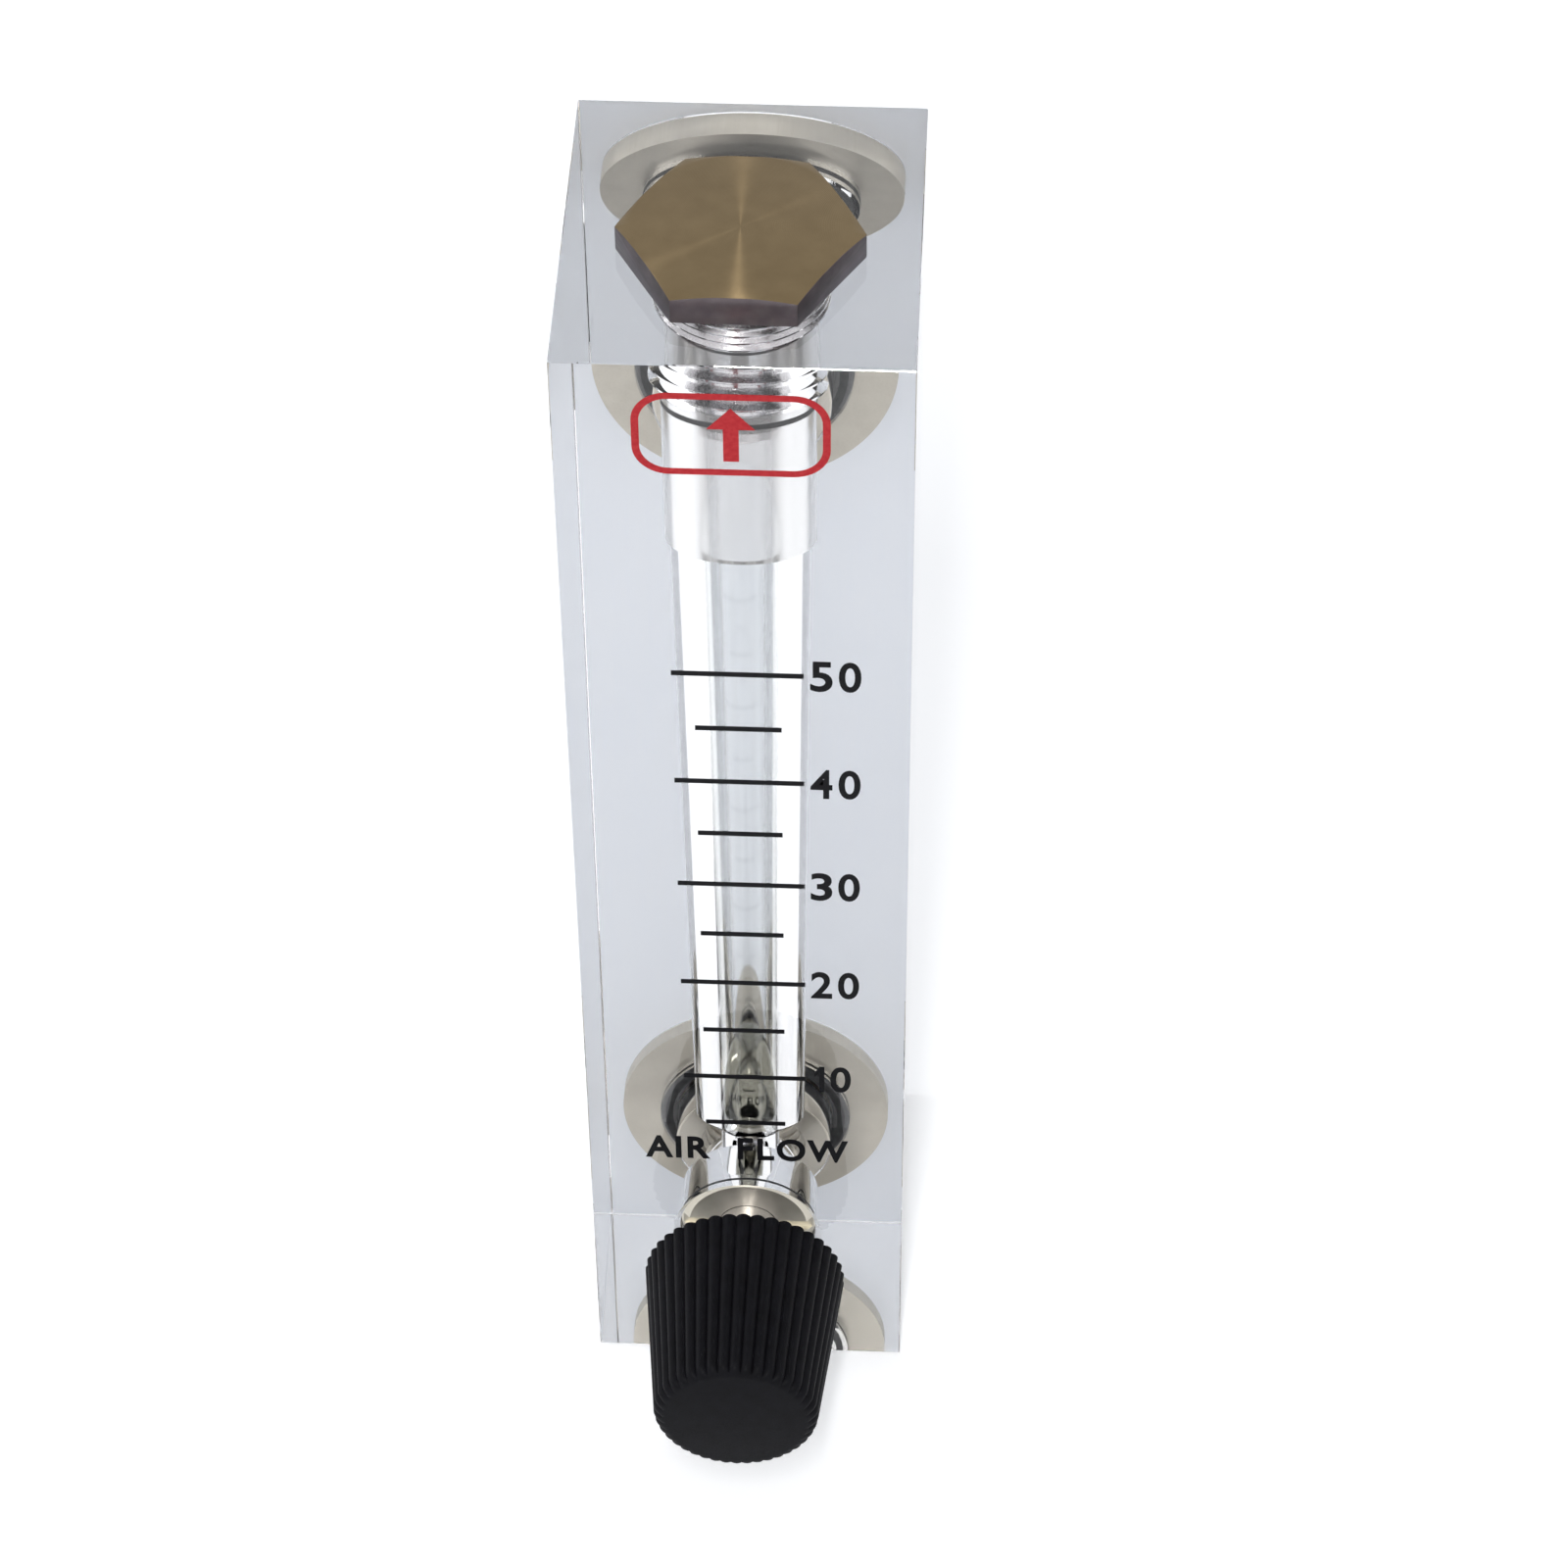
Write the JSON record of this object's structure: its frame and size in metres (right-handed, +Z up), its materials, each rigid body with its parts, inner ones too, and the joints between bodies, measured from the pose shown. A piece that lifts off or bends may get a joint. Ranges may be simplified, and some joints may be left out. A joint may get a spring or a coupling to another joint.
{
  "type": "acrylic block flow meter",
  "caption": "Clear acrylic block rotameter with a ball in a tapered bore, a hexagon top plug, a fluted front needle-valve knob and two threaded back ports.",
  "frame": {"origin": "foot of the metering bore's axis on the bottom face, on the block's middle plane", "axes": "+X to the right of someone facing the scale, +Y from the scale towards the ports, +Z up along the bore"},
  "size_m": [0.0254, 0.048, 0.1135],
  "materials": {
    "clear_acrylic": "clear, polished on every face",
    "plug_steel": "turned top face, machined flats",
    "ball_steel": "ground and polished",
    "insert_steel": "turned",
    "valve_steel": "turned",
    "seal_rubber": "smooth moulded",
    "knob_plastic": "satin moulded, fluted",
    "black_ink": "screen-printed ink",
    "red_ink": "screen-printed ink"
  },
  "bodies": {
    "meter_body": {"body_block": "clear_acrylic", "top_plug": "plug_steel", "plug_o_ring": "seal_rubber", "inlet_insert": "insert_steel", "outlet_insert": "insert_steel", "inlet_o_ring": "seal_rubber", "outlet_o_ring": "seal_rubber", "valve_bushing": "valve_steel", "bushing_o_ring": "seal_rubber", "scale_lines": "black_ink"},
    "float": {"float_ball": "ball_steel"},
    "stem_seals": {"stem_o_ring": "seal_rubber", "stem_clip": "valve_steel"},
    "valve_control": {"valve_stem": "valve_steel", "control_knob": "knob_plastic"}
  },
  "joints": [
    {"name": "float_rise", "type": "slide", "parent": "meter_body", "child": "float", "axis": [0, 0, 1], "range_m": [0, 0.0685]},
    {"name": "valve_travel", "type": "slide", "parent": "meter_body", "child": "stem_seals", "axis": [0, -1, 0], "range_m": [-0.00159, 0.00159]},
    {"name": "knob_turn", "type": "hinge", "parent": "stem_seals", "child": "valve_control", "pos_m": [0, -0.0166, 0.01588], "axis": [0, -1, 0], "range_deg": [-720, 720]}
  ],
  "couplings": [
    {"joint": "knob_turn", "follows": "valve_travel", "rad_per_m": 7915.8}
  ]
}
